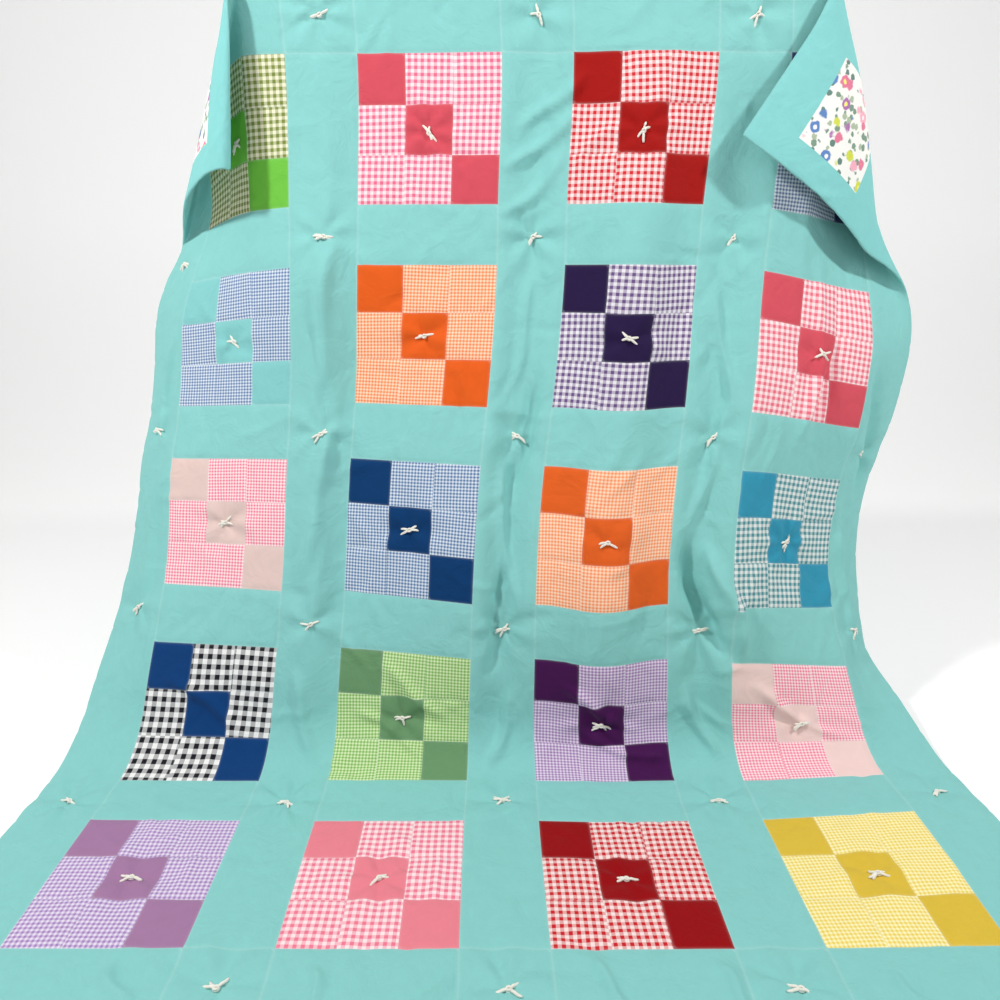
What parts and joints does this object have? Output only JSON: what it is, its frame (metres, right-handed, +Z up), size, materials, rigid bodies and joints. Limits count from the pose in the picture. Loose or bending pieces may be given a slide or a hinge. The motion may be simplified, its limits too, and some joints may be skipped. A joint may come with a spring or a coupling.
{
  "type": "patchwork quilt with hanging clips",
  "caption": "Yarn-tied patchwork quilt hung by clips on its top edge, its top corners folded forward and its foot laid on the floor.",
  "frame": {"origin": "middle of the quilt's top edge, halfway between the two clips that hold it", "axes": "+Z up, +X to the right of someone facing the patchwork side, -Y towards them"},
  "size_m": [1.7234, 0.9393, 1.4645],
  "materials": {
    "patchwork": "matte cotton patchwork, turquoise ground with solid and gingham patches",
    "backing_cloth": "matte cotton, turquoise with printed flower squares",
    "yarn": "soft white knitting yarn",
    "clip_metal": "dark satin metal"
  },
  "bodies": {
    "root": {"backing": "backing_cloth", "clip_left": "clip_metal", "clip_right": "clip_metal", "quilt_top": "patchwork", "tie_block_a1": "yarn", "tie_block_a2": "yarn", "tie_block_a3": "yarn", "tie_block_a5": "yarn", "tie_block_b1": "yarn", "tie_block_b2": "yarn", "tie_block_b3": "yarn", "tie_block_b4": "yarn", "tie_block_b5": "yarn", "tie_block_c1": "yarn", "tie_block_c2": "yarn", "tie_block_c3": "yarn", "tie_block_c4": "yarn", "tie_block_c5": "yarn", "tie_block_d2": "yarn", "tie_block_d3": "yarn", "tie_block_d4": "yarn", "tie_block_d5": "yarn", "tie_strip_1_2": "yarn", "tie_strip_1_3": "yarn", "tie_strip_1_4": "yarn", "tie_strip_1_5": "yarn", "tie_strip_1_6": "yarn", "tie_strip_2_1": "yarn", "tie_strip_2_2": "yarn", "tie_strip_2_3": "yarn", "tie_strip_2_4": "yarn", "tie_strip_2_5": "yarn", "tie_strip_2_6": "yarn", "tie_strip_3_1": "yarn", "tie_strip_3_2": "yarn", "tie_strip_3_3": "yarn", "tie_strip_3_4": "yarn", "tie_strip_3_5": "yarn", "tie_strip_3_6": "yarn", "tie_strip_4_1": "yarn", "tie_strip_4_2": "yarn", "tie_strip_4_3": "yarn", "tie_strip_4_4": "yarn", "tie_strip_4_5": "yarn", "tie_strip_4_6": "yarn", "tie_strip_5_3": "yarn", "tie_strip_5_4": "yarn", "tie_strip_5_5": "yarn", "tie_strip_5_6": "yarn"}
  },
  "joints": []
}
